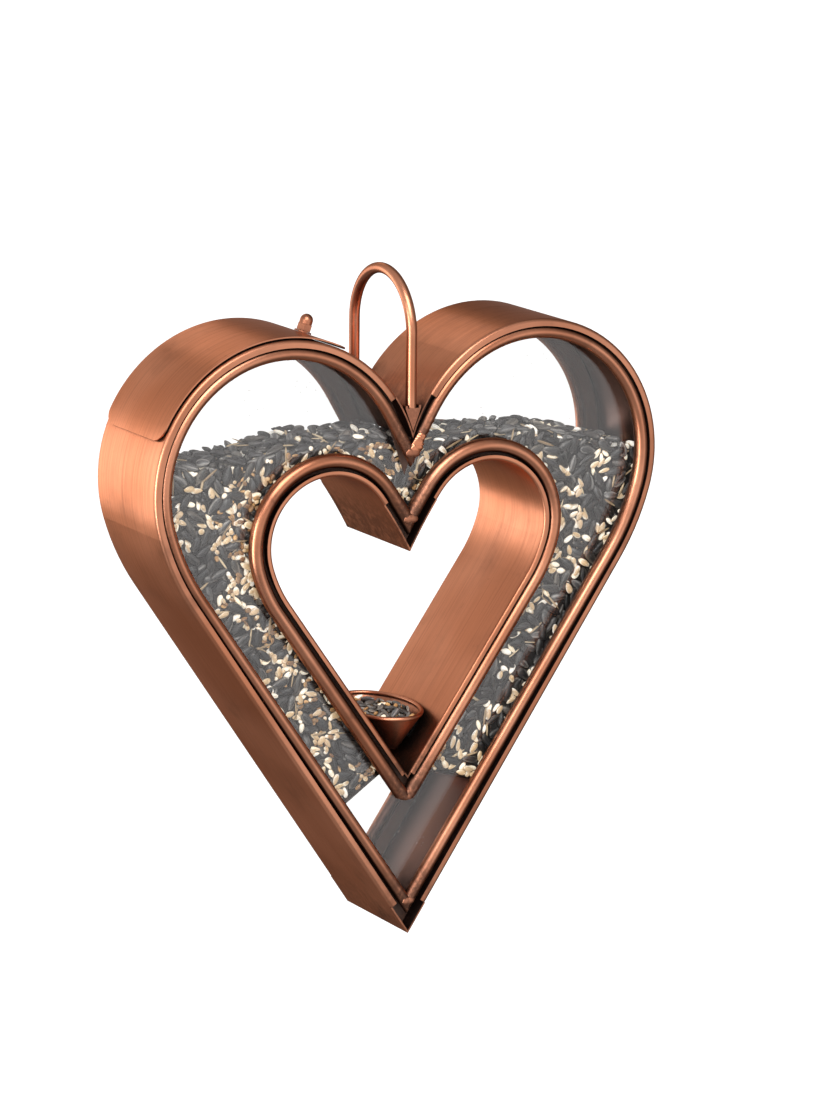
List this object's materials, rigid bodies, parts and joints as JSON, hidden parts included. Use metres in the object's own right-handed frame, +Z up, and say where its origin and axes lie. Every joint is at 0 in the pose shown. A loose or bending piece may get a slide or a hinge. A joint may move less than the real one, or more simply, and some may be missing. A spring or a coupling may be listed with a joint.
{
  "type": "hanging bird feeder",
  "caption": "Heart-shaped hopper bird feeder in antique copper with clear windows, a heart-shaped fly-through, an oval seed cup, a lift-off fill lid and a rod hanger.",
  "frame": {"origin": "hang point: the middle of the inside top of the hanger arch, where a hook bears", "axes": "+Z up, +Y to the back, +X to the viewer's right when facing the feeder's front"},
  "size_m": [0.33, 0.0781, 0.3915],
  "materials": {
    "copper_sheet": "antique copper plate on sheet, satin, darkened along its edges",
    "copper_came": "antique copper plate, darker patina",
    "copper_rod": "antique copper plate on round rod",
    "copper_hardware": "copper plate",
    "solder": "copper-plated solder, lumpy",
    "clear_plastic": "clear plastic sheet",
    "seed": "loose sunflower seed with hulled kernels",
    "cup_seed": "loose sunflower seed"
  },
  "bodies": {
    "feeder": {"left_outer_band": "copper_sheet", "right_outer_band": "copper_sheet", "left_inner_band": "copper_sheet", "right_inner_band": "copper_sheet", "left_hopper_floor": "copper_sheet", "right_hopper_floor": "copper_sheet", "feed_cup": "copper_sheet", "front_hanger_gusset": "copper_sheet", "rear_hanger_gusset": "copper_sheet", "front_left_outer_bead": "copper_came", "front_left_inner_bead": "copper_came", "front_right_outer_bead": "copper_came", "front_right_inner_bead": "copper_came", "rear_left_outer_bead": "copper_came", "rear_left_inner_bead": "copper_came", "rear_right_outer_bead": "copper_came", "rear_right_inner_bead": "copper_came", "lid_stud": "copper_hardware", "stud_base_nut": "copper_hardware", "front_tip_solder": "solder", "rear_tip_solder": "solder", "hanger_rod": "copper_rod", "front_window": "clear_plastic", "rear_window": "clear_plastic", "hopper_seed": "seed", "cup_seed": "cup_seed"},
    "lid": {"fill_lid": "copper_sheet"},
    "washer": {"lid_washer": "copper_hardware"},
    "nut": {"cap_nut": "copper_hardware"}
  },
  "joints": [
    {"name": "lid_lift", "type": "slide", "parent": "feeder", "child": "lid", "axis": [0.342, 0, 0.9397], "range_m": [0, 0.03]},
    {"name": "nut_rise", "type": "slide", "parent": "lid", "child": "washer", "axis": [0.342, 0, 0.9397], "range_m": [0, 0.012]},
    {"name": "nut_spin", "type": "hinge", "parent": "washer", "child": "nut", "pos_m": [-0.0816, 0, -0.11045], "axis": [0.342, 0, 0.9397], "range_deg": [0, 5400.1]}
  ],
  "couplings": [
    {"joint": "nut_spin", "follows": "nut_rise", "rad_per_m": 7854}
  ]
}
